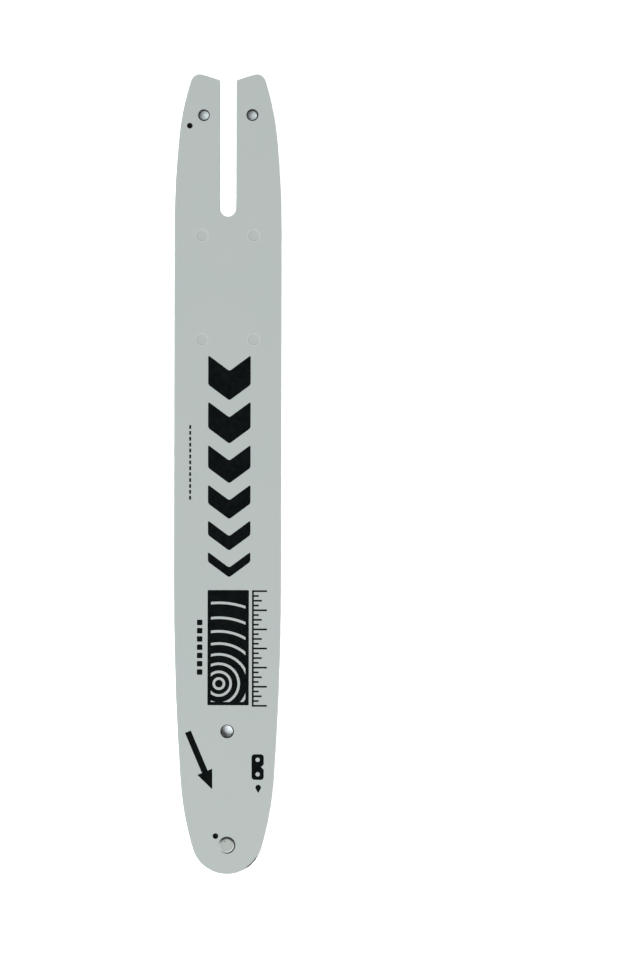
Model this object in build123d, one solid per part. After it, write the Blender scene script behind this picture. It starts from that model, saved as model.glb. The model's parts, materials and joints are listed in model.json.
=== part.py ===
from build123d import *
import os
from math import asin, floor, hypot, pi, radians, tan

# Laminated chainsaw guide bar with a sprocket nose, lying flat with its printed face up.
# X runs across the bar, Y along it from the nose to the tail, and Z up through its thickness.
# The origin is the middle of the bar's outline, on the lower face. Sizes are in millimetres.

# Outline of the bar
bar_length = 407.0
bar_width = 54.6
# Turn of the nose arc on each side of the tip, in degrees
nose_sweep = 73.5
# Distances from the nose tip and the tail end to the places where the two sides become parallel
nose_flank_length = 150.5
tail_flank_length = 78.5
# Lengths of the tangents of the two tighter arcs, one beside the nose and one beside the tail lobe
nose_shoulder_tangent = 18.0
tail_shoulder_tangent = 14.3
tail_lobe_radius = 4.7
tail_lobe_spacing = 29.0
# Slope of the side at the lobe, and fall of the tail end from the lobe to the slot, in degrees
tail_lobe_side_angle = 18.0
tail_notch_angle = 17.0

# Lamination
side_plate_thickness = 1.4
core_thickness = 1.3
groove_depth = 6.5
rail_edge_chamfer = 0.25
# Land on each side of the slot where the core reaches the tail end
core_tongue_width = 5.5

# Stud slot and round holes
slot_width = 8.2
slot_length = 72.4
slot_mouth_radius = 1.0
tensioner_hole_diameter = 4.8
tensioner_hole_spacing = 24.4
tensioner_hole_setback = 20.9
centre_hole_diameter = 5.9
centre_hole_setback = 72.8
oil_hole_diameter = 2.5
# Distances of the oil holes from the line of the bar's parallel side and from its tail end
oil_hole_inset = 7.8
oil_hole_setback = 26.3

# Spot-weld dents, in two columns on each outer face, counted in rows from the tail.
# The front face has only the rows between the slot and its printed area
weld_dent_diameter = 5.5
weld_dent_depth = 0.12
weld_column_spacing = 26.4
weld_row_pitch = 53.0
weld_tail_setback = 29.1
weld_nose_margin = 90.5
front_weld_rows = range(1, 3)

# Nose rivet
rivet_shank_diameter = 6.6
rivet_fit_clearance = 0.02
rivet_head_overhang = 1.05
rivet_head_rim = 1.1
rivet_head_height = 0.6
rivet_end_recess = 0.15
rivet_end_chamfer = 0.3

# Needle bearing of the nose sprocket, from the rivet outwards
race_wall = 2.83
roller_diameter = 2.4
roller_running_clearance = 0.05
roller_spacing_gap = 0.03
bearing_side_clearance = 0.1

# Nose sprocket, from the rollers outwards
sprocket_teeth = 7
sprocket_web = 2.5
tooth_depth = 3.3
tooth_tip_bevel = 0.5
tooth_rim_chamfer = 0.25
gullet_radius = 4.2
tooth_tip_setback = 0.4
sprocket_pocket_clearance = 0.9
# Distance of the axle from the centre of the nose arc, towards the tip
axle_advance = 3.4
grease_hole_diameter = 2.5
# Direction of the front face's grease hole from the axle, in degrees from +X
grease_hole_angle = 141.4

# Radii of the bearing and the nose, each carried by the one before
rivet_hole_radius = rivet_shank_diameter / 2 + rivet_fit_clearance
race_radius = rivet_hole_radius + race_wall
roller_pitch_radius = race_radius + roller_running_clearance + roller_diameter / 2
sprocket_bore_radius = roller_pitch_radius + roller_diameter / 2 + roller_running_clearance
sprocket_root_radius = sprocket_bore_radius + sprocket_web
sprocket_tip_radius = sprocket_root_radius + tooth_depth
axle_setback = sprocket_tip_radius + tooth_tip_setback
nose_radius = axle_setback + axle_advance

# Heights, lengths and counts that follow from the sizes above
nose_tip_y = -bar_length / 2
tail_end_y = bar_length / 2
axle_y = nose_tip_y + axle_setback
core_bottom_z = side_plate_thickness
core_top_z = side_plate_thickness + core_thickness
bar_thickness = core_top_z + side_plate_thickness
bearing_middle_z = core_bottom_z + core_thickness / 2
bearing_length = core_thickness - 2 * bearing_side_clearance
roller_count = floor(pi / asin((roller_diameter + roller_spacing_gap) / (2 * roller_pitch_radius)))
weld_row_span = bar_length - weld_tail_setback - weld_nose_margin
back_weld_rows = range(1 + floor(weld_row_span / weld_row_pitch))

# Centres of the nose arc and of the right tail lobe
nose_centre = Vector(0, nose_tip_y + nose_radius)
lobe_centre = Vector(tail_lobe_spacing / 2, tail_end_y - tail_lobe_radius)


def heading(angle):
    """Unit vector at this many degrees from +X."""
    return Vector(1, 0).rotate(Axis.Z, angle)


def shoulder_and_flank(start, direction, tangent, end, end_direction, inset):
    """Two arcs, a tight one and then a wide one, that touch each other and both end directions.

    The inset moves them to the left of the way they run, about the same centres.
    """
    span = end - start
    reach = span.dot(span) / 2 - tangent * span.dot(direction)
    end_tangent = reach / (span.dot(end_direction) + tangent * (1 - direction.dot(end_direction)))
    corner = start + direction * tangent
    corner_line = end - end_direction * end_tangent - corner
    meeting_direction = corner_line.normalized()
    meeting = corner + corner_line * (tangent / (tangent + end_tangent))
    inner_start = start + direction.rotate(Axis.Z, 90) * inset
    inner_meeting = meeting + meeting_direction.rotate(Axis.Z, 90) * inset
    inner_end = end + end_direction.rotate(Axis.Z, 90) * inset
    return [
        TangentArc(inner_start, inner_meeting, tangent=direction),
        TangentArc(inner_meeting, inner_end, tangent=meeting_direction),
    ]


def rail_edge(inset):
    """The right rail from the nose tip to the tail lobe, moved inwards by the inset."""
    tailwards = Vector(0, 1)
    nosewards = Vector(0, -1)
    parallel_start = Vector(bar_width / 2, nose_tip_y + nose_flank_length)
    parallel_end = Vector(bar_width / 2, tail_end_y - tail_flank_length)
    nose_end = nose_centre + heading(nose_sweep - 90) * nose_radius
    lobe_start = lobe_centre + heading(tail_lobe_side_angle) * tail_lobe_radius
    inwards = Vector(-inset, 0)
    return [
        CenterArc(nose_centre, nose_radius - inset, -90, nose_sweep),
        *shoulder_and_flank(nose_end, heading(nose_sweep), nose_shoulder_tangent,
                            parallel_start, tailwards, inset),
        Line(parallel_start + inwards, parallel_end + inwards),
        *shoulder_and_flank(lobe_start, heading(tail_lobe_side_angle - 90), tail_shoulder_tangent,
                            parallel_end, nosewards, -inset),
    ]


def mirrored_face(right_edges):
    """The flat face between a set of edges on the right and its mirror image on the left."""
    right = Curve() + right_edges
    return make_face(right + mirror(right, about=Plane.YZ))


def bar_outline():
    """The whole outline, with the round tail lobes and the tail end that falls towards the slot."""
    lobe_end = lobe_centre + heading(90 + tail_notch_angle) * tail_lobe_radius
    notch_middle = Vector(0, lobe_end.Y - lobe_end.X * tan(radians(tail_notch_angle)))
    lobe_turn = 90 + tail_notch_angle - tail_lobe_side_angle
    lobe = CenterArc(lobe_centre, tail_lobe_radius, tail_lobe_side_angle, lobe_turn)
    return mirrored_face([*rail_edge(0), lobe, Line(lobe_end, notch_middle)])


def core_outline():
    """The outline set back by the groove's depth, with a tongue round the slot up to the tail end."""
    tail_corner = lobe_centre + heading(tail_lobe_side_angle) * (tail_lobe_radius - groove_depth)
    body = mirrored_face([*rail_edge(groove_depth), Line(tail_corner, (0, tail_corner.Y))])
    tongue_width = slot_width + 2 * core_tongue_width
    tongue_length = 2 * (tail_end_y - tail_corner.Y)
    tongue = Pos(0, tail_end_y - tongue_length / 2) * Rectangle(tongue_width, tongue_length)
    return body + (bar_outline() & tongue)


def cut_slot(sheet):
    """Cut the stud slot in from the tail end and round the corners of its mouth."""
    straight = slot_length - slot_width / 2
    slot = Pos(0, tail_end_y - straight) * Circle(slot_width / 2)
    slot += Pos(0, tail_end_y - straight / 2) * Rectangle(slot_width, straight)
    sheet -= slot
    beside_slot = sheet.vertices().filter_by(lambda v: abs(abs(v.X) - slot_width / 2) < 1e-4)
    return fillet(beside_slot.sort_by(Axis.Y)[-2:], slot_mouth_radius)


def cut_through_holes(sheet):
    """Cut the two chain tensioner holes and the hole on the centre line."""
    tensioner_y = tail_end_y - tensioner_hole_setback
    for side in (-1, 1):
        tensioner_x = side * tensioner_hole_spacing / 2
        sheet -= Pos(tensioner_x, tensioner_y) * Circle(tensioner_hole_diameter / 2)
    return sheet - Pos(0, nose_tip_y + centre_hole_setback) * Circle(centre_hole_diameter / 2)


def weld_dents(rows, face_z, outwards):
    """The balls whose lowest caps are the dents that the spot welds press into the outer face."""
    dent_radius = weld_dent_diameter / 2
    ball_radius = (dent_radius**2 + weld_dent_depth**2) / (2 * weld_dent_depth)
    ball_z = face_z + outwards * (ball_radius - weld_dent_depth)
    dents = []
    for row in rows:
        row_y = tail_end_y - weld_tail_setback - row * weld_row_pitch
        for side in (-1, 1):
            dents.append(Pos(side * weld_column_spacing / 2, row_y, ball_z) * Sphere(ball_radius))
    return dents


def side_plate(side, bottom_z, face_z, outwards, rows):
    """One outer plate, with its oil and grease holes on this side of the centre line."""
    sheet = cut_through_holes(cut_slot(bar_outline()))
    sheet -= Pos(0, axle_y) * Circle(rivet_hole_radius)
    oil_x = side * (bar_width / 2 - oil_hole_inset)
    sheet -= Pos(oil_x, tail_end_y - oil_hole_setback) * Circle(oil_hole_diameter / 2)
    grease = heading(grease_hole_angle) * roller_pitch_radius
    sheet -= Pos(-side * grease.X, axle_y + grease.Y) * Circle(grease_hole_diameter / 2)

    plate = extrude(Pos(0, 0, bottom_z) * sheet, amount=side_plate_thickness)
    outer_face = plate.faces().filter_by_position(Axis.Z, face_z, face_z)[0]
    plate = chamfer(outer_face.outer_wire().edges(), rail_edge_chamfer)
    return plate - weld_dents(rows, face_z, outwards)


def core_plate():
    """The middle plate, whose edge is the groove's floor, with a round pocket for the sprocket."""
    sheet = cut_through_holes(cut_slot(core_outline()))
    sheet -= Pos(0, axle_y) * Circle(sprocket_tip_radius + sprocket_pocket_clearance)
    return extrude(Pos(0, 0, core_bottom_z) * sheet, amount=core_thickness)


def nose_sprocket():
    """The toothed wheel, with gullets for the chain's drive links and a bore for the rollers."""
    wheel = Circle(sprocket_tip_radius)
    for place in PolarLocations(sprocket_root_radius + gullet_radius, sprocket_teeth):
        wheel -= place * Circle(gullet_radius)
    tips = wheel.vertices().filter_by(lambda v: hypot(v.X, v.Y) > sprocket_root_radius)
    wheel = chamfer(tips, tooth_tip_bevel) - Circle(sprocket_bore_radius)
    blank = Cylinder(sprocket_tip_radius, bearing_length)
    blank = chamfer(blank.edges().filter_by(GeomType.CIRCLE), tooth_rim_chamfer)
    wheel = extrude(wheel, amount=bearing_length / 2, both=True) & blank
    return Pos(0, axle_y, bearing_middle_z) * wheel


def bearing_race():
    """The ring that the side plates clamp and the rollers run on."""
    ring = Cylinder(race_radius, core_thickness) - Cylinder(rivet_hole_radius, core_thickness)
    return Pos(0, axle_y, bearing_middle_z) * ring


def roller(number):
    """One needle roller, in its place round the race."""
    turn = Rot(0, 0, number * 360 / roller_count)
    place = Pos(0, axle_y, bearing_middle_z) * turn * Pos(roller_pitch_radius, 0, 0)
    return place * Cylinder(roller_diameter / 2, bearing_length)


def nose_rivet():
    """The rivet, turned from its half section: sunk end, shank, and a flat head with a sloping rim."""
    shank_radius = rivet_shank_diameter / 2
    head_radius = shank_radius + rivet_head_overhang
    head_top_z = bar_thickness + rivet_head_height
    half_section = Polyline(
        (0, rivet_end_recess),
        (shank_radius - rivet_end_chamfer, rivet_end_recess),
        (shank_radius, rivet_end_recess + rivet_end_chamfer),
        (shank_radius, bar_thickness),
        (head_radius, bar_thickness),
        (head_radius - rivet_head_rim, head_top_z),
        (0, head_top_z),
        close=True,
    )
    return Pos(0, axle_y, 0) * revolve(Plane.XZ * make_face(half_section), Axis.Z)


pieces = {
    "side_plate_front": side_plate(-1, core_top_z, bar_thickness, 1, front_weld_rows),
    "core_plate": core_plate(),
    "side_plate_back": side_plate(1, 0, 0, -1, back_weld_rows),
    "nose_sprocket": nose_sprocket(),
    "bearing_race": bearing_race(),
    "nose_rivet": nose_rivet(),
}
for number in range(roller_count):
    pieces[f"roller_{number + 1:02d}"] = roller(number)

os.makedirs("parts", exist_ok=True)
for name, piece in pieces.items():
    export_step(piece, f"parts/{name}.step")
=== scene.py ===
"""Looks of a laminated chainsaw guide bar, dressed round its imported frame.

X runs across the bar, Y along it from the nose to the tail, and Z up out of the printed face.
Lengths are in metres, and heights of surface texture in thousandths of a millimetre.
"""

import json
import logging
import math
from collections.abc import Callable, Iterator
from contextlib import contextmanager
from dataclasses import dataclass, field
from enum import Enum

import bmesh
import bpy
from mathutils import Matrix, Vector


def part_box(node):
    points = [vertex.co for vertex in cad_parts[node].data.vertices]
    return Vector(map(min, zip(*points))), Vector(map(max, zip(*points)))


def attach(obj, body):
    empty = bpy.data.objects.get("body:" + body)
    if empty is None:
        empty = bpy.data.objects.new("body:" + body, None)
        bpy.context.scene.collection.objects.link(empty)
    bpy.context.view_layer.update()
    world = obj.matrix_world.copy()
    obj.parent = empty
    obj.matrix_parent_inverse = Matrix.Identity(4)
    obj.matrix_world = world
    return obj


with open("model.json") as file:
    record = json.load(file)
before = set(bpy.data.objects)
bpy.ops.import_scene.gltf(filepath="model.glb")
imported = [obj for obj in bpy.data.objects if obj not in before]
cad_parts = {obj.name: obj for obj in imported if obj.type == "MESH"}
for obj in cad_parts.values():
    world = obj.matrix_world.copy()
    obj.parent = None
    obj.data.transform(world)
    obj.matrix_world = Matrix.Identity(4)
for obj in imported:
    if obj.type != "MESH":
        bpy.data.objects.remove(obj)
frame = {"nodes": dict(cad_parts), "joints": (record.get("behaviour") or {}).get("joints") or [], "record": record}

log = logging.getLogger("guide_bar")

MM = 0.001
MICRON = 1e-6
# The share of a direction along an axis from which it counts as running along it.
ALIGNED = 0.9
# What is left of each axis when a place is laid flat.
FLAT = (1, 1, 0)
# A distance that nothing on the bar reaches.
FAR = 1.0
# The middle of the joint that the nose wheel turns on.
AXLE = Vector(frame["joints"][0]["pos_m"])

Pair = tuple[float, float]
Triple = tuple[float, float, float]
Colour = tuple[float, float, float, float]
Socket = bpy.types.NodeSocket
Value = float | tuple | Socket


class Element(Enum):
    """The elements of a mesh that edit mode can select."""

    VERTEX = "VERT"
    EDGE = "EDGE"
    FACE = "FACE"


class Join(Enum):
    """The ways that two solids are joined."""

    ADD = "UNION"
    CUT = "DIFFERENCE"
    KEEP = "INTERSECT"


class Grain(Enum):
    """The way that the working marks of a steel surface lie."""

    LENGTHWISE = "along the bar"
    TURNED = "round the axle"
    EVEN = "no direction"


class Face(Enum):
    """The two outer faces of the bar, with the sign of their direction along Z."""

    FRONT = 1
    BACK = -1


class Depth(Enum):
    """How deep a printed shape or the tool that cuts it is."""

    INK = 0.03 * MM
    TOOL = 0.27 * MM


class Reach(Enum):
    """What a lamp lights: all but the ground, the floor alone, or the floor and the cards on it."""

    BAR = "all but the ground"
    FLOOR = "floor"
    GROUND = "floor and cards"


class Mixture(Enum):
    """What a mix node mixes: its data type, its two inputs' numbers and its output's number."""

    NUMBERS = ("FLOAT", 2, 3, 0)
    COLOURS = ("RGBA", 6, 7, 2)


@dataclass
class Coat:
    """What one layer of a finish gives to a shader."""

    colour: Value
    roughness: Value
    metallic: Value
    height: Value


class ShaderSheet:
    """A material's node tree, with short calls that add its nodes and join them."""

    def __init__(self, name: str) -> None:
        """Start an empty material.

        Args:
            name: The material's name.
        """
        self.material = bpy.data.materials.new(name)
        self.material.use_nodes = True
        self.nodes = self.material.node_tree.nodes
        self.links = self.material.node_tree.links
        self.nodes.clear()
        self.place: Socket = self.add("ShaderNodeTexCoord", {}).outputs["Object"]

    def add(self, kind: str, inputs: dict[str | int, Value], **settings: object) -> bpy.types.Node:
        """Add a node.

        Args:
            kind: The node's type.
            inputs: A plain value, or another node's output, for each input that is set.
            settings: The node's own options.

        Returns:
            The new node.
        """
        node = self.nodes.new(kind)
        for name, value in settings.items():
            setattr(node, name, value)
        for name, value in inputs.items():
            if isinstance(value, Socket):
                self.links.new(value, node.inputs[name])
            else:
                node.inputs[name].default_value = value
        return node

    def math(self, operation: str, first: Value, second: Value = 0.0) -> Socket:
        """Work out a number from one or two others.

        Args:
            operation: What is done with them.
            first: The first number.
            second: The second number, where the operation takes two.

        Returns:
            The result.
        """
        return self.add("ShaderNodeMath", {0: first, 1: second}, operation=operation).outputs[0]

    def band(self, value: Value, low: float, high: float) -> Socket:
        """Turn a number into a mask.

        Args:
            value: The number.
            low: The number where the mask is 0.
            high: The number where the mask is 1.

        Returns:
            The mask, from 0 to 1.
        """
        inputs = {"Value": value, "From Min": low, "From Max": high}
        return self.add("ShaderNodeMapRange", inputs, clamp=True).outputs[0]

    def mix(self, share: Value, under: Value, over: Value, kind: Mixture = Mixture.COLOURS) -> Socket:
        """Mix two colours or two numbers.

        Args:
            share: The share of the second one.
            under: The first one.
            over: The second one.
            kind: What is mixed.

        Returns:
            The mixed colour or number.
        """
        data_type, first, second, result = kind.value
        node = self.add("ShaderNodeMix", {0: share, first: under, second: over}, data_type=data_type)
        return node.outputs[result]

    def blend(self, share: Value, under: Value, over: Value) -> Socket:
        """Mix two numbers, by the share of the second one."""
        return self.mix(share, under, over, Mixture.NUMBERS)

    def noise(self, size: float, detail: float = 2.0, stretch: Triple = (1, 1, 1),
              place: Socket | None = None) -> Socket:
        """Add a cloudy pattern.

        Args:
            size: The width of its spots.
            detail: How many finer patterns are laid over it.
            stretch: How many times longer the spots are along each axis.
            place: The coordinates that it reads, if not the piece's own.

        Returns:
            The pattern, from 0 to 1.
        """
        scale = tuple(1 / (size * times) for times in stretch)
        spread = self.add("ShaderNodeMapping", {"Vector": place or self.place, "Scale": scale})
        inputs = {"Vector": spread.outputs[0], "Scale": 1.0, "Detail": detail}
        return self.add("ShaderNodeTexNoise", inputs).outputs[0]

    def axis(self, name: str, vector: Socket | None = None) -> Socket:
        """Take one number out of a vector.

        Args:
            name: The axis: X, Y or Z.
            vector: The vector, if not the place on the piece.

        Returns:
            The number along that axis.
        """
        return self.add("ShaderNodeSeparateXYZ", {0: vector or self.place}).outputs[name]

    def facing(self) -> Socket:
        """The upward share of the surface's direction: 1 where it looks up, -1 where it looks down."""
        return self.axis("Z", self.add("ShaderNodeNewGeometry", {}).outputs["True Normal"])

    def away(self, centre: Vector) -> Socket:
        """Measure how far the surface is from an upright line.

        Args:
            centre: A point on the line.

        Returns:
            The distance across the line.
        """
        flat = self.add("ShaderNodeVectorMath", {0: self.place, 1: FLAT}, operation="MULTIPLY")
        inputs = {0: flat.outputs[0], 1: (centre.x, centre.y, 0)}
        return self.add("ShaderNodeVectorMath", inputs, operation="DISTANCE").outputs["Value"]

    def ring(self, distance: Socket, radius: float, width: float) -> Socket:
        """Mark a soft ring.

        Args:
            distance: The distance from the ring's middle.
            radius: The ring's radius.
            width: The distance over which it fades to each side.

        Returns:
            The mask, from 0 to 1.
        """
        return self.band(self.math("ABSOLUTE", self.math("SUBTRACT", distance, radius)), width, 0.0)

    def side(self, centre: Vector, way: Pair, low: float, high: float) -> Socket:
        """Mark the side of an upright line that looks one way.

        Args:
            centre: A point on the line.
            way: The direction across and along the bar, of length 1.
            low: The share of that direction where the mask is 0.
            high: The share of that direction where the mask is 1.

        Returns:
            The mask, from 0 to 1.
        """
        inputs = {0: self.place, 1: FLAT, 2: (-centre.x, -centre.y, 0)}
        arm = self.add("ShaderNodeVectorMath", inputs, operation="MULTIPLY_ADD").outputs[0]
        turned = self.add("ShaderNodeVectorMath", {0: arm}, operation="NORMALIZE").outputs[0]
        share = self.add("ShaderNodeVectorMath", {0: turned, 1: (*way, 0)}, operation="DOT_PRODUCT")
        return self.band(share.outputs["Value"], low, high)

    def over(self, mask: Value, top: Coat, under: Coat) -> Coat:
        """Lay one coat over another.

        Args:
            mask: Where the top coat lies, from 0 to 1.
            top: The top coat.
            under: The coat below it.

        Returns:
            The coat that is seen.
        """
        return Coat(
            self.mix(mask, under.colour, top.colour),
            self.blend(mask, under.roughness, top.roughness),
            self.blend(mask, under.metallic, top.metallic),
            self.blend(mask, under.height, top.height),
        )

    def finish(self, coat: Coat, specular: float) -> bpy.types.Material:
        """Join the coat to the material's output.

        Args:
            coat: The coat that is seen.
            specular: The strength of the mirror-like light on what isn't metal.

        Returns:
            The finished material.
        """
        bump = self.add("ShaderNodeBump", {"Height": coat.height, "Distance": MICRON})
        shader = self.add("ShaderNodeBsdfPrincipled", {
            "Base Color": coat.colour,
            "Roughness": coat.roughness,
            "Metallic": coat.metallic,
            "Normal": bump.outputs[0],
            "Specular IOR Level": specular,
        })
        self.add("ShaderNodeOutputMaterial", {"Surface": shader.outputs[0]})
        return self.material


@dataclass(frozen=True)
class SatinPaint:
    """Pale grey-green paint with a faint orange peel and a fine grain."""

    light: Colour = (0.371, 0.404, 0.392, 1)
    shade: Colour = (0.349, 0.388, 0.384, 1)
    speck: Colour = (0.330, 0.360, 0.353, 1)
    cloud_size: float = 45 * MM
    cloud_detail: float = 3.0
    speck_size: float = 0.35 * MM
    speck_detail: float = 3.0
    speck_edge: Pair = (0.56, 0.75)
    peel_size: float = 1.1 * MM
    peel_detail: float = 1.5
    peel_height: float = 5.0
    roughness: Pair = (0.40, 0.48)
    specular: float = 0.25

    def coat(self, sheet: ShaderSheet) -> Coat:
        """Add the paint's patterns.

        Args:
            sheet: The material that gets them.

        Returns:
            The paint's coat.
        """
        cloud = sheet.noise(self.cloud_size, self.cloud_detail)
        speck = sheet.band(sheet.noise(self.speck_size, self.speck_detail), *self.speck_edge)
        peel = sheet.noise(self.peel_size, self.peel_detail)
        colour = sheet.mix(speck, sheet.mix(cloud, self.shade, self.light), self.speck)
        roughness = sheet.blend(peel, *self.roughness)
        return Coat(colour, roughness, 0.0, sheet.math("MULTIPLY", peel, self.peel_height))


@dataclass(frozen=True)
class WorkedSteel:
    """Bare steel with the fine marks of the way it was worked."""

    light: Colour
    dark: Colour
    roughness: Pair
    grain: Grain = Grain.LENGTHWISE
    mark_size: float = 0.12 * MM
    mark_detail: float = 4.0
    mark_length: float = 60.0
    mark_height: float = 3.0
    mark_edge: Pair = (0.3, 0.7)
    metallic: float = 1.0
    specular: float = 0.5

    def marks(self, sheet: ShaderSheet) -> Socket:
        """Add the working marks.

        Args:
            sheet: The material that gets them.

        Returns:
            The marks, from 0 to 1.
        """
        if self.grain is Grain.TURNED:
            round_axle = sheet.add("ShaderNodeCombineXYZ", {0: sheet.away(AXLE), 1: sheet.axis("Z")})
            return sheet.noise(self.mark_size, self.mark_detail, place=round_axle.outputs[0])
        stretch = (1, self.mark_length, 1) if self.grain is Grain.LENGTHWISE else (1, 1, 1)
        return sheet.noise(self.mark_size, self.mark_detail, stretch)

    def coat(self, sheet: ShaderSheet) -> Coat:
        """Add the steel's patterns.

        Args:
            sheet: The material that gets them.

        Returns:
            The steel's coat.
        """
        marks = self.marks(sheet)
        worn = sheet.band(marks, *self.mark_edge)
        colour = sheet.mix(worn, self.dark, self.light)
        roughness = sheet.blend(worn, self.roughness[1], self.roughness[0])
        return Coat(colour, roughness, self.metallic, sheet.math("MULTIPLY", marks, self.mark_height))

    def material(self, name: str) -> bpy.types.Material:
        """Build a material of this steel alone.

        Args:
            name: The material's name.

        Returns:
            The finished material.
        """
        sheet = ShaderSheet(name)
        return sheet.finish(self.coat(sheet), self.specular)


@dataclass(frozen=True)
class PrintInk:
    """Black screen ink, slightly uneven and nearly matt."""

    deep: Colour = (0.0016, 0.0027, 0.0027, 1)
    thin: Colour = (0.0042, 0.0060, 0.0060, 1)
    cloud_size: float = 2.5 * MM
    cloud_detail: float = 4.0
    cloud_edge: Pair = (0.35, 0.75)
    grain_size: float = 0.25 * MM
    grain_height: float = 2.5
    roughness: Pair = (0.48, 0.66)
    specular: float = 0.02

    def material(self) -> bpy.types.Material:
        """Build the ink's material.

        Returns:
            The finished material.
        """
        sheet = ShaderSheet("black_ink")
        cloud = sheet.band(sheet.noise(self.cloud_size, self.cloud_detail), *self.cloud_edge)
        grain = sheet.noise(self.grain_size)
        colour = sheet.mix(cloud, self.deep, self.thin)
        roughness = sheet.blend(grain, *self.roughness)
        height = sheet.math("MULTIPLY", grain, self.grain_height)
        return sheet.finish(Coat(colour, roughness, 0.0, height), self.specular)


@dataclass(frozen=True)
class PaleFloor:
    """A matt, nearly white studio floor."""

    light: Colour = (0.96, 0.96, 0.96, 1)
    shade: Colour = (0.94, 0.94, 0.94, 1)
    cloud_size: float = 0.4
    roughness: float = 0.9
    specular: float = 0.1

    def material(self) -> bpy.types.Material:
        """Build the floor's material.

        Returns:
            The finished material.
        """
        sheet = ShaderSheet("pale_floor")
        colour = sheet.mix(sheet.noise(self.cloud_size), self.shade, self.light)
        return sheet.finish(Coat(colour, self.roughness, 0.0, 0.0), self.specular)


RIVET_PAINT = SatinPaint(
    light=(0.337, 0.364, 0.345, 1),
    shade=(0.317, 0.349, 0.338, 1),
    speck=(0.300, 0.324, 0.311, 1),
)
RAIL_STEEL = WorkedSteel(
    light=(0.22, 0.223, 0.227, 1),
    dark=(0.115, 0.117, 0.121, 1),
    roughness=(0.34, 0.50),
)
CORE_STEEL = WorkedSteel(
    light=(0.22, 0.222, 0.225, 1),
    dark=(0.10, 0.101, 0.105, 1),
    roughness=(0.34, 0.55),
    mark_size=0.2 * MM,
)
SPROCKET_STEEL = WorkedSteel(
    light=(0.27, 0.27, 0.275, 1),
    dark=(0.14, 0.14, 0.146, 1),
    roughness=(0.28, 0.45),
    grain=Grain.TURNED,
)
# Dark steel for the plates' inner faces, the hole walls and the rivet's set end, and for painted shade on the
# holes' rims and the rivet's rim.
BURNT_STEEL_AND_SHADE = WorkedSteel(
    light=(0.020, 0.022, 0.023, 1),
    dark=(0.008, 0.009, 0.010, 1),
    roughness=(0.5, 0.7),
    grain=Grain.EVEN,
    mark_size=0.4 * MM,
    metallic=0.1,
)
GREASED_STEEL = WorkedSteel(
    light=(0.020, 0.020, 0.019, 1),
    dark=(0.010, 0.010, 0.010, 1),
    roughness=(0.30, 0.45),
    grain=Grain.EVEN,
    mark_size=0.6 * MM,
    metallic=0.1,
    specular=0.05,
)
# Blackened steel for the rivet's set end and its marks, and for painted shade along the nose edge.
BLACKENED_STEEL_AND_SHADE = WorkedSteel(
    light=(0.055, 0.060, 0.059, 1),
    dark=(0.036, 0.040, 0.039, 1),
    roughness=(0.42, 0.6),
    grain=Grain.TURNED,
    mark_size=0.3 * MM,
    metallic=0.3,
)


def dress(node: str, material: bpy.types.Material) -> None:
    """Give a node of the frame a material in place of its own.

    Args:
        node: The node's name.
        material: The material that it gets.
    """
    frame["nodes"][node].material_slots[0].material = material
    log.info("%s dressed in %s", node, material.name)


def through_holes() -> list[tuple[str, Vector, float]]:
    """List the round holes that go through the bar, as its record gives them.

    Returns:
        The name, the middle and the radius of each.
    """
    bores = [mount for mount in frame["record"]["mounts"] if mount["kind"] == "bore"]
    return [(bore["name"], Vector(bore["pos_m"]), bore["dims"]["r_mm"] * MM) for bore in bores]


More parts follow.
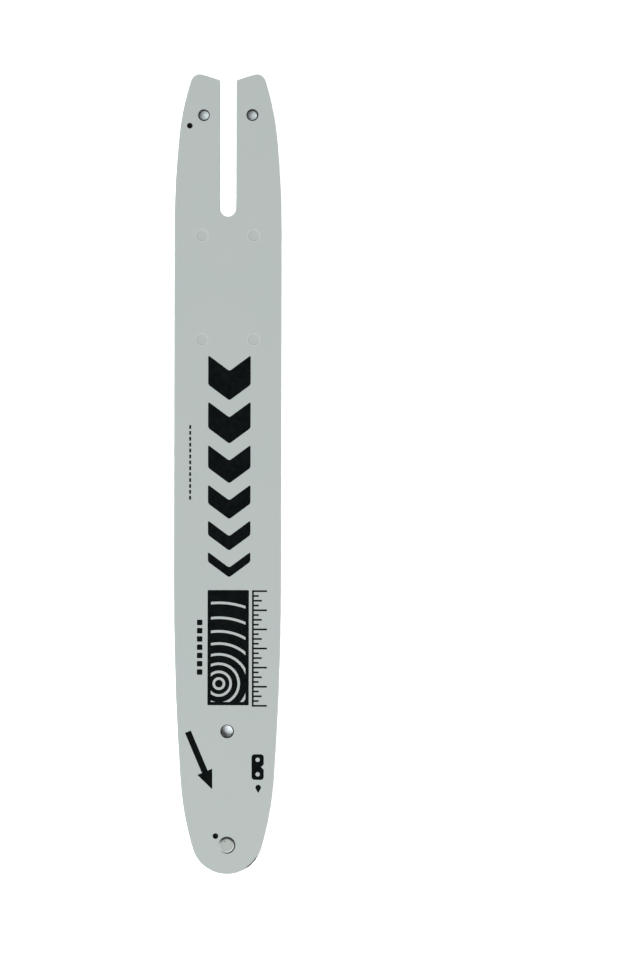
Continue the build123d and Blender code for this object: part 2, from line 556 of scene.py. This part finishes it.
@dataclass
class LaminatedBar:
    """The two painted side plates and the core between them."""

    paint_edge: Pair = (0.58, 0.66)
    inner_edge: Pair = (-0.5, -0.9)
    feed_hole_shaded_rim: float = 0.18 * MM
    # Dark rims round the holes: partly bare steel, partly painted shade, each shifted to one side of its hole.
    through_hole_shaded_rims: dict[str, float] = field(default_factory=lambda: {
        "tensioner_hole_left": 0.57 * MM,
        "tensioner_hole_right": 0.62 * MM,
        "centre_hole": 0.50 * MM,
    })
    shaded_rim_shift: dict[str, Vector] = field(default_factory=lambda: {
        "tensioner_hole_left": Vector((-0.14, -0.04, 0)) * MM,
        "tensioner_hole_right": Vector((0.12, 0.10, 0)) * MM,
        "centre_hole": Vector((0.04, -0.12, 0)) * MM,
    })
    feed_hole_radius: float = 1.25 * MM
    oil_hole: Vector = field(default_factory=lambda: Vector((-19.5, 177.2, 0)) * MM)
    grease_hole: Vector = field(default_factory=lambda: AXLE + Vector((-5.78, 4.62, 0)) * MM)
    rim_softness: float = 0.06 * MM
    weld_radius: float = 2.75 * MM
    weld_step: float = 0.3 * MM
    weld_column: float = 13.2 * MM
    weld_row_pitch: float = 53.0 * MM
    weld_tail_setback: float = 29.1 * MM
    front_weld_rows: Pair = (1.0, 2.0)
    back_weld_rows: Pair = (0.0, 5.0)
    weld_depth: float = 190.0
    # Painted shade inside each weld dent.
    weld_shade: Colour = (0.29, 0.317, 0.31, 1)
    weld_shade_share: float = 0.17
    # A painted highlight: a pale ring round each weld dent.
    weld_highlight: Colour = (0.50, 0.54, 0.53, 1)
    weld_highlight_radius: float = 3.15 * MM
    weld_highlight_width: float = 0.38 * MM
    weld_highlight_share: float = 0.45
    nose_radius: float = 18.25 * MM
    # Painted shade along one side of the nose edge, with a ragged inner boundary.
    nose_shade_side: Pair = (0.719, -0.695)
    nose_shade_edge: Pair = (0.965, 0.99)
    nose_shade_width: Pair = (0.78 * MM, 0.60 * MM)
    nose_shade_chip: float = 0.3 * MM
    nose_shade_chip_size: float = 0.8 * MM

    def shaded_rim_discs(self, face: Face) -> list[tuple[Vector, float]]:
        """List the round holes that open on one face, with their uneven dark rims: bare steel that the punching
        left, widened and shifted to one side as painted shade.

        Args:
            face: The face.

        Returns:
            The centre of each rim, which lies beside its hole's own, and its outer radius.
        """
        found = []
        for name, centre, radius in through_holes():
            found.append((centre + self.shaded_rim_shift[name], radius + self.through_hole_shaded_rims[name]))
        for centre in (self.oil_hole, self.grease_hole):
            place = Vector((centre.x * face.value, centre.y, 0))
            found.append((place, self.feed_hole_radius + self.feed_hole_shaded_rim))
        return found

    def rim_and_shade_mask(self, sheet: ShaderSheet, face: Face) -> Socket:
        """Mark the rims and walls of the holes, whose dark rims are partly bare steel and partly painted shade.

        Args:
            sheet: The plate's material.
            face: The plate's outer face.

        Returns:
            The mask, from 0 to 1.
        """
        nearest: Value = FAR
        for centre, radius in self.shaded_rim_discs(face):
            beyond = sheet.math("SUBTRACT", sheet.away(centre), radius)
            nearest = sheet.math("MINIMUM", nearest, beyond)
        return sheet.band(nearest, self.rim_softness, 0.0)

    def from_weld(self, sheet: ShaderSheet, face: Face) -> Socket:
        """Measure how far the surface is from the middle of the nearest weld dent.

        Args:
            sheet: The plate's material.
            face: The plate's outer face.

        Returns:
            The distance.
        """
        first_row, last_row = self.front_weld_rows if face is Face.FRONT else self.back_weld_rows
        first_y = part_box("side_plate_front")[1].y - self.weld_tail_setback
        across = sheet.math("SUBTRACT", sheet.math("ABSOLUTE", sheet.axis("X")), self.weld_column)
        rows = sheet.math("DIVIDE", sheet.math("SUBTRACT", first_y, sheet.axis("Y")), self.weld_row_pitch)
        nearest = sheet.math("MAXIMUM", sheet.math("ROUND", rows), first_row)
        nearest = sheet.math("MINIMUM", nearest, last_row)
        along = sheet.math("MULTIPLY", sheet.math("SUBTRACT", rows, nearest), self.weld_row_pitch)
        squares = sheet.math("ADD", sheet.math("POWER", across, 2.0), sheet.math("POWER", along, 2.0))
        return sheet.math("SQRT", squares)

    def nose_shade_mask(self, sheet: ShaderSheet) -> Socket:
        """Mark painted shade along the edge on one side of the nose, with a ragged inner boundary.

        Args:
            sheet: The plate's material.

        Returns:
            The mask, from 0 to 1.
        """
        nose_centre = Vector((0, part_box("side_plate_front")[0].y + self.nose_radius, 0))
        from_edge = sheet.math("SUBTRACT", self.nose_radius - self.nose_shade_chip / 2, sheet.away(nose_centre))
        chips = sheet.math("MULTIPLY", sheet.noise(self.nose_shade_chip_size), self.nose_shade_chip)
        from_edge = sheet.math("ADD", from_edge, chips)
        side = sheet.side(nose_centre, self.nose_shade_side, *self.nose_shade_edge)
        return sheet.math("MULTIPLY", side, sheet.band(from_edge, *self.nose_shade_width))

    def plate_material(self, face: Face) -> bpy.types.Material:
        """Build a side plate's material: paint outside, ground rails, dark steel inside and in its holes; painted
        shade in the weld dents, the holes' rims and, on the front, along one side of the nose edge; painted
        highlights round the weld dents.

        Args:
            face: The plate's outer face.

        Returns:
            The finished material.
        """
        sheet = ShaderSheet(f"{face.name.lower()}_plate_paint")
        outwards = sheet.math("MULTIPLY", sheet.facing(), float(face.value))
        finish = SatinPaint()
        paint = finish.coat(sheet)
        from_weld = self.from_weld(sheet, face)
        half_step = self.weld_step / 2
        pressed = sheet.band(from_weld, self.weld_radius + half_step, self.weld_radius - half_step)
        # Painted shade: the paint inside each weld dent is darkened.
        dent_shade = sheet.math("MULTIPLY", pressed, self.weld_shade_share)
        paint.colour = sheet.mix(dent_shade, paint.colour, self.weld_shade)
        # Painted highlight: a pale ring round each weld dent.
        dent_highlight = sheet.ring(from_weld, self.weld_highlight_radius, self.weld_highlight_width)
        dent_highlight = sheet.math("MULTIPLY", dent_highlight, self.weld_highlight_share)
        paint.colour = sheet.mix(dent_highlight, paint.colour, self.weld_highlight)
        pressed = sheet.math("MULTIPLY", pressed, self.weld_depth)
        paint.height = sheet.math("SUBTRACT", paint.height, pressed)
        if face is Face.FRONT:
            # Painted shade along one side of the nose edge, in the blackened steel coat.
            paint = sheet.over(self.nose_shade_mask(sheet), BLACKENED_STEEL_AND_SHADE.coat(sheet), paint)
        # The holes' dark rims are partly bare steel and partly painted shade; the plate's inner face is dark
        # steel.
        rim = self.rim_and_shade_mask(sheet, face)
        burnt_and_shaded = sheet.math("MAXIMUM", rim, sheet.band(outwards, *self.inner_edge))
        steel = sheet.over(burnt_and_shaded, BURNT_STEEL_AND_SHADE.coat(sheet), RAIL_STEEL.coat(sheet))
        covered = sheet.math("SUBTRACT", sheet.band(outwards, *self.paint_edge), rim)
        painted = sheet.over(sheet.math("MAXIMUM", covered, 0.0), paint, steel)
        return sheet.finish(painted, finish.specular)

    def build(self) -> None:
        """Dress the side plates and the core."""
        dress("side_plate_front", self.plate_material(Face.FRONT))
        dress("side_plate_back", self.plate_material(Face.BACK))
        dress("core_plate", CORE_STEEL.material("core_steel"))


@dataclass
class SprocketNose:
    """The nose wheel, its needle bearing and the rivet that carries them."""

    end_edge: Pair = (-0.5, -0.9)
    end_ring_radius: float = 2.9 * MM
    end_ring_width: float = 0.3 * MM
    # Painted shade on the rim's slope: where it lies round the axle, how strong it is and across which radii.
    shade_side: Pair = (0.10, 0.995)
    shade_edge: Pair = (0.0, 0.75)
    shade_share: float = 0.97
    shade_radius: Pair = (2.95 * MM, 3.4 * MM)
    # A dark joint at the head's foot, with painted shade that makes it darker on one side.
    seam_shade_side: Pair = (0.93, -0.37)
    seam_shade_edge: Pair = (-0.6, 0.5)
    seam_shade_radius: Pair = (3.68 * MM, 3.85 * MM)
    # A painted highlight on the rim's near side.
    glint_radius: float = 3.3 * MM
    glint_width: float = 0.28 * MM
    glint_side: Pair = (0.87, -0.5)
    glint_edge: Pair = (0.1, 0.7)
    glint_colour: Colour = (0.66, 0.69, 0.68, 1)
    set_mark_radius: float = 2.85 * MM
    set_mark_width: float = 0.22 * MM
    set_mark_share: float = 0.35
    nick_place: Vector = field(default_factory=lambda: AXLE + Vector((-1.2, 2.0, 0)) * MM)
    nick_radius: Pair = (0.65 * MM, 0.15 * MM)
    nick_share: float = 0.7

    def painted_shade_mask(self, sheet: ShaderSheet, radius: Socket) -> Socket:
        """Mark the painted shade on the rivet's rim: a crescent on its side away from the key light, and a dark
        joint at its foot that is darker on one side.

        Args:
            sheet: The rivet's material.
            radius: The distance from the axle.

        Returns:
            The mask, from 0 to 1.
        """
        # Painted shade: the rim's slope is darkened on its side away from the key light.
        slope = sheet.band(radius, *self.shade_radius)
        shade = sheet.math("MULTIPLY", slope, sheet.side(AXLE, self.shade_side, *self.shade_edge))
        shade = sheet.math("MULTIPLY", shade, self.shade_share)
        # The dark joint at the head's foot, darker on one side as painted shade.
        seam_shade = sheet.band(radius, *self.seam_shade_radius)
        seam_shade = sheet.math("MULTIPLY", seam_shade, sheet.side(AXLE, self.seam_shade_side, *self.seam_shade_edge))
        return sheet.math("MAXIMUM", shade, seam_shade)

    def rivet_material(self) -> bpy.types.Material:
        """Build the rivet's material: a painted head with painted shade and a painted highlight on its rim, and a
        blackened set end.

        Returns:
            The finished material.
        """
        sheet = ShaderSheet("rivet_steel")
        radius = sheet.away(AXLE)
        paint = RIVET_PAINT.coat(sheet)
        mark = sheet.ring(radius, self.set_mark_radius, self.set_mark_width)
        mark = sheet.math("MULTIPLY", mark, self.set_mark_share)
        nick = sheet.band(sheet.away(self.nick_place), *self.nick_radius)
        mark = sheet.math("MAXIMUM", mark, sheet.math("MULTIPLY", nick, self.nick_share))
        paint.colour = sheet.mix(mark, paint.colour, BLACKENED_STEEL_AND_SHADE.light)
        # Painted highlight: a pale ring on the rim's near side, in place of a glint of the light.
        glint = sheet.ring(radius, self.glint_radius, self.glint_width)
        glint = sheet.math("MULTIPLY", glint, sheet.side(AXLE, self.glint_side, *self.glint_edge))
        paint.colour = sheet.mix(glint, paint.colour, self.glint_colour)
        # The rim's painted shade is laid in the dark steel coat.
        head = sheet.over(self.painted_shade_mask(sheet, radius), BURNT_STEEL_AND_SHADE.coat(sheet), paint)
        end_ring = sheet.ring(radius, self.end_ring_radius, self.end_ring_width)
        end = sheet.over(end_ring, BURNT_STEEL_AND_SHADE.coat(sheet), BLACKENED_STEEL_AND_SHADE.coat(sheet))
        set_end = sheet.band(sheet.facing(), *self.end_edge)
        return sheet.finish(sheet.over(set_end, end, head), RIVET_PAINT.specular)

    def build(self) -> None:
        """Dress the wheel, the race, the rollers and the rivet."""
        dress("nose_sprocket", SPROCKET_STEEL.material("sprocket_steel"))
        greased = GREASED_STEEL.material("greased_steel")
        for node in frame["nodes"]:
            if node == "bearing_race" or node.startswith("roller"):
                dress(node, greased)
        dress("nose_rivet", self.rivet_material())


def deselect() -> None:
    """Deselect every object, so that the next operator acts on its own piece alone."""
    bpy.ops.object.select_all(action="DESELECT")


def settle() -> None:
    """Put the new object's place, turn and size into its mesh."""
    bpy.ops.object.transform_apply(location=True, rotation=True, scale=True)


@contextmanager
def editing() -> Iterator[None]:
    """Hold the active piece in edit mode, with all of it selected.

    Yields:
        Nothing: the piece is shaped by operators.
    """
    bpy.ops.object.mode_set(mode="EDIT")
    bpy.ops.mesh.select_all(action="SELECT")
    yield
    bpy.ops.object.mode_set(mode="OBJECT")


def pick(piece: bpy.types.Object, element: Element, test: Callable[[Vector, Vector], bool]) -> None:
    """Select elements of a piece that is in edit mode.

    Args:
        piece: The piece.
        element: The kind of element.
        test: Takes an element's middle and its direction, and says whether it is selected.
    """
    bpy.ops.mesh.select_mode(type=element.value)
    bpy.ops.mesh.select_all(action="DESELECT")
    mesh = bmesh.from_edit_mesh(piece.data)
    if element is Element.VERTEX:
        found = [(v, v.co, v.normal) for v in mesh.verts]
    elif element is Element.EDGE:
        found = [(e, (e.verts[0].co + e.verts[1].co) / 2, (e.verts[1].co - e.verts[0].co).normalized())
                 for e in mesh.edges]
    else:
        found = [(f, f.calc_center_median(), f.normal) for f in mesh.faces]
    for item, middle, direction in found:
        item.select_set(test(middle, direction))
    mesh.select_flush_mode()
    bmesh.update_edit_mesh(piece.data)


def upright(middle: Vector, direction: Vector) -> bool:
    """Whether an element's direction runs up or down."""
    return abs(direction.z) > ALIGNED


def join(piece: bpy.types.Object, other: bpy.types.Object, way: Join) -> None:
    """Join another solid to a piece, and remove it.

    Args:
        piece: The piece that stays.
        other: The solid that goes into it.
        way: The way that the two are joined.
    """
    bpy.context.view_layer.objects.active = piece
    modifier = piece.modifiers.new("join", "BOOLEAN")
    modifier.operation = way.value
    modifier.object = other
    modifier.solver = "EXACT"
    bpy.ops.object.modifier_apply(modifier="join")
    bpy.data.objects.remove(other)


def repeat(piece: bpy.types.Object, count: int, step: float) -> None:
    """Copy a piece in a straight row along the bar, towards the nose.

    Args:
        piece: The piece, which gets the copies in its mesh.
        count: The number of pieces in the row.
        step: The distance from each to the next.
    """
    bpy.context.view_layer.objects.active = piece
    modifier = piece.modifiers.new("row", "ARRAY")
    modifier.count = count
    modifier.use_relative_offset = False
    modifier.use_constant_offset = True
    modifier.constant_offset_displace = (0, -step, 0)
    bpy.ops.object.modifier_apply(modifier="row")


@dataclass
class InkPrint:
    """A print on the front face, with the tools that shape its thin layer of ink."""

    ink: bpy.types.Material
    sink: float = 0.01 * MM
    corner_steps: int = 6

    def middle_z(self) -> float:
        """The height of the ink's middle, which lets its lower side sink into the painted face."""
        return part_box("side_plate_front")[1].z - self.sink + Depth.INK.value / 2

    def block(self, x: float, y: float, width: float, length: float,
              depth: Depth = Depth.INK) -> bpy.types.Object:
        """Add a flat block.

        Args:
            x: The place of its middle across the bar.
            y: The place of its middle along the bar.
            width: Its size across the bar.
            length: Its size along the bar.
            depth: Its size through the ink.

        Returns:
            The block, with its place in its mesh.
        """
        deselect()
        bpy.ops.mesh.primitive_cube_add(size=1, location=(x, y, self.middle_z()))
        piece = bpy.context.object
        piece.scale = (width, length, depth.value)
        settle()
        return piece

    def disc(self, x: float, y: float, radius: float, depth: Depth, sides: int) -> bpy.types.Object:
        """Add a flat disc, or a block with a few sides.

        Args:
            x: The place of its middle across the bar.
            y: The place of its middle along the bar.
            radius: The radius of its corners.
            depth: Its size through the ink.
            sides: The number of its sides.

        Returns:
            The disc, with its place in its mesh.
        """
        deselect()
        bpy.ops.mesh.primitive_cylinder_add(vertices=sides, radius=radius, depth=depth.value,
                                            location=(x, y, self.middle_z()))
        settle()
        return bpy.context.object

    def round_corners(self, piece: bpy.types.Object, radius: float) -> None:
        """Round the upright edges of a piece.

        Args:
            piece: The piece.
            radius: The radius of its corners.
        """
        with editing():
            pick(piece, Element.EDGE, upright)
            bpy.ops.mesh.bevel(offset=radius, segments=self.corner_steps, affect="EDGES")

    def taper(self, piece: bpy.types.Object, x: float, share: float) -> None:
        """Narrow the end of a block that looks to the nose.

        Args:
            piece: The block.
            x: The place of its middle across the bar.
            share: The share of its width that the end keeps.
        """
        with editing():
            pick(piece, Element.FACE, lambda middle, direction: direction.y < -ALIGNED)
            bpy.ops.transform.resize(value=(share, 1, 1), center_override=(x, 0, 0))

    def finish(self, piece: bpy.types.Object, name: str) -> None:
        """Name a printed piece, ink it and fix it to the bar.

        Args:
            piece: The piece.
            name: Its name.
        """
        piece.name = name
        piece.data.materials.clear()
        piece.data.materials.append(self.ink)
        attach(piece, "bar")
        log.info("%s printed, %d faces", name, len(piece.data.polygons))


@dataclass
class ChevronRow(InkPrint):
    """The row of chevrons that points to the nose, each thinner than the one before."""

    x: float = 0.9 * MM
    start: float = 60.5 * MM
    width: float = 21.6 * MM
    rise: float = 8.0 * MM
    strokes: tuple[float, ...] = (15 * MM, 13.4 * MM, 11.6 * MM, 9.6 * MM, 7.4 * MM, 5 * MM)
    gap: float = 8.6 * MM
    corner: float = 1.0 * MM
    near: float = 0.01 * MM

    def chevron(self, top: float, stroke: float) -> bpy.types.Object:
        """Model one chevron.

        Args:
            top: The place of its upper corners along the bar.
            stroke: Its thickness along the bar.

        Returns:
            The chevron.
        """
        piece = self.block(self.x, top - stroke / 2, self.width, stroke)
        with editing():
            bpy.ops.mesh.bisect(plane_co=(self.x, 0, 0), plane_no=(1, 0, 0))
            pick(piece, Element.VERTEX, lambda middle, direction: abs(middle.x - self.x) < self.near)
            bpy.ops.transform.translate(value=(0, -self.rise, 0))
        self.round_corners(piece, self.corner)
        return piece

    def build(self) -> None:
        """Print the row."""
        top = self.start
        for number, stroke in enumerate(self.strokes, 1):
            self.finish(self.chevron(top, stroke), f"print_chevron_{number}")
            top -= stroke + self.gap


@dataclass
class RingPanel(InkPrint):
    """The black panel with the pale growth rings of a log's end."""

    x: float = 0.5 * MM
    y: float = -88.2 * MM
    width: float = 21.0 * MM
    length: float = 58.6 * MM
    corner: float = 0.5 * MM
    margin: float = 1.7 * MM
    ring_x: float = -4.2 * MM
    ring_y: float = -106.5 * MM
    ring_first: float = 2.6 * MM
    ring_step: float = 3.4 * MM
    ring_growth: float = 0.7 * MM
    ring_count: int = 8
    ring_stroke: float = 1.3 * MM
    ring_sides: int = 120

    def ring(self, radius: float) -> bpy.types.Object:
        """Model one growth ring, cut off at the panel's margin.

        Args:
            radius: The ring's radius.

        Returns:
            The ring, as a tool that is deeper than the ink.
        """
        outer = radius + self.ring_stroke / 2
        piece = self.disc(self.ring_x, self.ring_y, outer, Depth.TOOL, self.ring_sides)
        with editing():
            pick(piece, Element.FACE, upright)
            bpy.ops.mesh.inset(thickness=self.ring_stroke)
            bpy.ops.mesh.bridge_edge_loops()
            bpy.ops.mesh.select_all(action="SELECT")
            bpy.ops.mesh.normals_make_consistent(inside=False)
        inner_width = self.width - 2 * self.margin
        inner_length = self.length - 2 * self.margin
        join(piece, self.block(self.x, self.y, inner_width, inner_length, Depth.TOOL), Join.KEEP)
        return piece

    def build(self) -> None:
        """Print the panel, with its rings cut out of the ink."""
        piece = self.block(self.x, self.y, self.width, self.length)
        self.round_corners(piece, self.corner)
        radius = self.ring_first
        for number in range(self.ring_count):
            join(piece, self.ring(radius), Join.CUT)
            radius += self.ring_step + number * self.ring_growth
        self.finish(piece, "print_panel")


@dataclass(frozen=True)
class TickSet:
    """The ticks of one length on a scale: their reach, the first one's number and the next one's step."""

    reach: float
    first: int
    step: int


@dataclass
class EdgeScale(InkPrint):
    """The plain scale beside the panel."""

    x: float = 12.6 * MM
    top: float = -59.0 * MM
    pitch: float = 2.43 * MM
    count: int = 25
    stroke: float = 0.9 * MM
    ticks: tuple[TickSet, ...] = (
        TickSet(reach=7.6 * MM, first=0, step=4),
        TickSet(reach=5.0 * MM, first=2, step=4),
        TickSet(reach=3.4 * MM, first=1, step=2),
    )
    near: float = 0.002 * MM

    def build(self) -> None:
        """Print the scale's line, with each set of ticks modelled once and repeated along it."""
        length = self.pitch * (self.count - 1) + self.stroke
        piece = self.block(self.x + self.stroke / 2, self.top - length / 2, self.stroke, length)
        for kind in self.ticks:
            y = self.top - self.stroke / 2 - kind.first * self.pitch
            width = kind.reach - self.stroke / 2
            tick = self.block(self.x + kind.reach - width / 2, y, width, self.stroke)
            repeat(tick, len(range(kind.first, self.count, kind.step)), kind.step * self.pitch)
            join(piece, tick, Join.ADD)
        with editing():
            bpy.ops.mesh.remove_doubles(threshold=self.near)
        self.finish(piece, "print_scale")


@dataclass
class ChainArrow(InkPrint):
    """The arrow of the chain's way, which leans along the nose's side."""

    tip_x: float = -7.6 * MM
    tip_y: float = -160.0 * MM
    length: float = 31.5 * MM
    shaft_width: float = 3.2 * MM
    head_width: float = 8.2 * MM
    head_length: float = 9.4 * MM
    tip_width: float = 0.3 * MM
    overlap: float = 0.5 * MM
    lean: float = math.radians(23.0)

    def build(self) -> None:
        """Print the arrow: a straight shaft with a tapered head, leant over about its tip."""
        shaft_length = self.length - self.head_length + self.overlap
        shaft_y = self.tip_y + self.length - shaft_length / 2
        piece = self.block(self.tip_x, shaft_y, self.shaft_width, shaft_length)
        head_y = self.tip_y + self.head_length / 2
        head = self.block(self.tip_x, head_y, self.head_width, self.head_length)
        self.taper(head, self.tip_x, self.tip_width / self.head_width)
        join(piece, head, Join.ADD)
        tip = (self.tip_x, self.tip_y, 0)
        with editing():
            bpy.ops.transform.rotate(value=-self.lean, orient_axis="Z", center_override=tip)
        self.finish(piece, "print_arrow")


@dataclass
class LinkSign(InkPrint):
    """The sign of a chain link, a strap with two rivet holes and a notch, and an oil drop below it."""

    x: float = 15.6 * MM
    y: float = -148.9 * MM
    width: float = 6.2 * MM
    length: float = 13.0 * MM
    corner: float = 1.5 * MM
    hole_radius: float = 1.1 * MM
    hole_spacing: float = 7.4 * MM
    notch_radius: float = 1.9 * MM
    notch_inset: float = 1.35 * MM
    notch_sides: int = 4
    round_sides: int = 48
    drop_x: float = 15.9 * MM
    drop_y: float = -159.3 * MM
    drop_radius: float = 1.4 * MM
    drop_tip: float = 2.7 * MM
    tip_width: float = 0.15 * MM

    def link(self) -> bpy.types.Object:
        """Model the link.

        Returns:
            The strap with its holes and its wedge-shaped notch.
        """
        piece = self.block(self.x, self.y, self.width, self.length)
        self.round_corners(piece, self.corner)
        for side in (-1, 1):
            y = self.y + side * self.hole_spacing / 2
            join(piece, self.disc(self.x, y, self.hole_radius, Depth.TOOL, self.round_sides), Join.CUT)
        notch_x = self.x + self.width / 2 + self.notch_radius - self.notch_inset
        notch = self.disc(notch_x, self.y, self.notch_radius, Depth.TOOL, self.notch_sides)
        join(piece, notch, Join.CUT)
        return piece

    def drop(self) -> bpy.types.Object:
        """Model the drop.

        Returns:
            A disc with a tip that leaves it along its tangents.
        """
        piece = self.disc(self.drop_x, self.drop_y, self.drop_radius, Depth.INK, self.round_sides)
        tangent_y = self.drop_radius**2 / self.drop_tip
        tangent_width = 2 * math.sqrt(self.drop_radius**2 - tangent_y**2)
        tip_length = self.drop_tip - tangent_y
        tip_y = self.drop_y - tangent_y - tip_length / 2
        tip = self.block(self.drop_x, tip_y, tangent_width, tip_length)
        self.taper(tip, self.drop_x, self.tip_width / tangent_width)
        join(piece, tip, Join.ADD)
        return piece

    def build(self) -> None:
        """Print the link and the drop."""
        self.finish(self.link(), "print_link_sign")
        self.finish(self.drop(), "print_oil_drop")


@dataclass
class DashRow(InkPrint):
    """A straight row of equal dashes along the bar."""

    name: str = "print_dash_row"
    x: float = -19.0 * MM
    start: float = 25.0 * MM
    width: float = 1.0 * MM
    length: float = 2.0 * MM
    pitch: float = 3.0 * MM
    count: int = 13
    corner: float = 0.3 * MM

    def build(self) -> None:
        """Print the row, its dash modelled once and repeated."""
        piece = self.block(self.x, self.start - self.length / 2, self.width, self.length)
        self.round_corners(piece, self.corner)
        repeat(piece, self.count, self.pitch)
        self.finish(piece, self.name)


@dataclass(frozen=True)
class Lamp:
    """A square soft light, with its size as the length of its side and its power in watts."""

    name: str
    reach: Reach
    place: Triple
    size: float
    power: float
    target: Triple = (0, 0, 0)
    colour: Triple = (1, 1, 1)


@dataclass
class Studio:
    """The pale floor, the soft lights and the camera above the bar."""

    disc_sides: int = 96
    floor_radius: float = 8.0
    floor_gap: float = 0.1 * MM
    card_gap: float = 0.05 * MM
    card_radius: float = 4.0 * MM
    camera_place: Triple = (47.04 * MM, -2.85 * MM, 2.004)
    camera_roll: float = math.radians(0.11)
    frame_height: float = 488.2 * MM
    sensor: float = 36.0
    lamps: tuple[Lamp, ...] = (
        Lamp("key_light", Reach.BAR, place=(-2.55, -2.32, 5.51), size=2.2, power=345.0),
        Lamp("tail_side_light", Reach.FLOOR, place=(0.3, 3.2, 1.5), size=1.2, power=240.0),
        Lamp("nose_side_light", Reach.FLOOR, place=(-0.3, -3.2, 1.5), size=1.2, power=240.0),
        Lamp("tail_hole_light", Reach.GROUND, place=(-0.07, 0.1826, 0.2), size=0.2, power=0.46,
             target=(0, 0.1826, 0), colour=(0.86, 0.98, 1.0)),
        Lamp("centre_hole_light", Reach.GROUND, place=(-0.1117, -0.2325, 0.212), size=0.19, power=1.05,
             target=(0, -0.1307, 0), colour=(0.88, 0.98, 1.0)),
    )
    sky_colour: Colour = (1, 1, 1, 1)
    sky_low: float = 0.50
    sky_high: float = 0.88
    sky_bright: float = 1.2
    sky_dark: float = 0.12

    def disc(self, name: str, place: Vector, radius: float,
             material: bpy.types.Material) -> bpy.types.Object:
        """Lay a flat disc of the studio.

        Args:
            name: Its name.
            place: Its middle.
            radius: Its radius.
            material: Its material.

        Returns:
            The disc.
        """
        deselect()
        bpy.ops.mesh.primitive_circle_add(vertices=self.disc_sides, radius=radius, fill_type="NGON",
                                          location=place)
        piece = bpy.context.object
        settle()
        piece.name = name
        piece.data.materials.append(material)
        return piece

    def ground(self) -> list[bpy.types.Object]:
        """Lay the floor just under the bar, and a card of the same kind under each through hole.

        Returns:
            The floor, and then the cards.
        """
        pale = PaleFloor().material()
        laid = [self.disc("studio_floor", Vector((0, 0, -self.floor_gap)), self.floor_radius, pale)]
        for name, centre, _ in through_holes():
            place = Vector((centre.x, centre.y, -self.card_gap))
            laid.append(self.disc(f"{name}_card", place, self.card_radius, pale))
        return laid

    def receivers(self, ground: list[bpy.types.Object], reach: Reach) -> bpy.types.Collection:
        """Say what a kind of lamp lights.

        Args:
            ground: The floor, and then the cards.
            reach: The kind of lamp.

        Returns:
            The collection that such lamps name.
        """
        lit = bpy.data.collections.new(f"lit_{reach.name.lower()}")
        named = ground[:1] if reach is Reach.FLOOR else ground
        for disc in named:
            lit.objects.link(disc)
        for item in lit.collection_objects:
            item.light_linking.link_state = "EXCLUDE" if reach is Reach.BAR else "INCLUDE"
        return lit

    def hang(self, lamp: Lamp, lit: bpy.types.Collection) -> None:
        """Hang a lamp.

        Args:
            lamp: The lamp.
            lit: The collection that says what it lights.
        """
        data = bpy.data.lights.new(lamp.name, "AREA")
        data.size = lamp.size
        data.energy = lamp.power
        data.color = lamp.colour
        hung = bpy.data.objects.new(lamp.name, data)
        hung.location = lamp.place
        way = Vector(lamp.target) - Vector(lamp.place)
        hung.rotation_euler = way.to_track_quat("-Z", "Y").to_euler()
        hung.visible_camera = False
        hung.light_linking.receiver_collection = lit
        bpy.context.scene.collection.objects.link(hung)

    def sky(self) -> None:
        """Surround the bar with a soft white light that is brighter near the floor than overhead."""
        world = bpy.data.worlds.new("studio")
        world.use_nodes = True
        nodes = world.node_tree.nodes
        links = world.node_tree.links
        way = nodes.new("ShaderNodeTexCoord")
        height = nodes.new("ShaderNodeSeparateXYZ")
        strength = nodes.new("ShaderNodeMapRange")
        strength.interpolation_type = "SMOOTHSTEP"
        strength.inputs["From Min"].default_value = self.sky_low
        strength.inputs["From Max"].default_value = self.sky_high
        strength.inputs["To Min"].default_value = self.sky_bright
        strength.inputs["To Max"].default_value = self.sky_dark
        links.new(way.outputs["Generated"], height.inputs[0])
        links.new(height.outputs["Z"], strength.inputs["Value"])
        links.new(strength.outputs[0], nodes["Background"].inputs["Strength"])
        nodes["Background"].inputs["Color"].default_value = self.sky_colour
        bpy.context.scene.world = world

    def camera(self) -> None:
        """Hang the camera above the bar, looking straight down with the tail at the top."""
        data = bpy.data.cameras.new("camera")
        data.sensor_width = self.sensor
        height = self.camera_place[2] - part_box("side_plate_front")[1].z
        data.lens = self.sensor * height / self.frame_height
        placed = bpy.data.objects.new("camera", data)
        placed.location = self.camera_place
        placed.rotation_euler = (0, 0, self.camera_roll)
        bpy.context.scene.collection.objects.link(placed)
        bpy.context.scene.camera = placed

    def build(self) -> None:
        """Set up the whole studio."""
        ground = self.ground()
        lit = {reach: self.receivers(ground, reach) for reach in Reach}
        for lamp in self.lamps:
            self.hang(lamp, lit[lamp.reach])
        self.sky()
        self.camera()
        bpy.context.scene.view_settings.view_transform = "Standard"
        log.info("studio ready")


def main() -> None:
    """Dress the frame, print the face and set up the studio."""
    logging.basicConfig(level=logging.INFO, format="%(message)s")
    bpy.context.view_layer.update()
    ink = PrintInk().material()
    assemblies = (
        LaminatedBar(),
        SprocketNose(),
        ChevronRow(ink),
        RingPanel(ink),
        EdgeScale(ink),
        ChainArrow(ink),
        LinkSign(ink),
        DashRow(ink),
        DashRow(ink, name="print_block_row", x=-14.0 * MM, start=-74.0 * MM, width=2.8 * MM,
                length=2.8 * MM, pitch=4.2 * MM, count=7, corner=0.5 * MM),
        Studio(),
    )
    for assembly in assemblies:
        assembly.build()


if __name__ == "__main__":
    main()
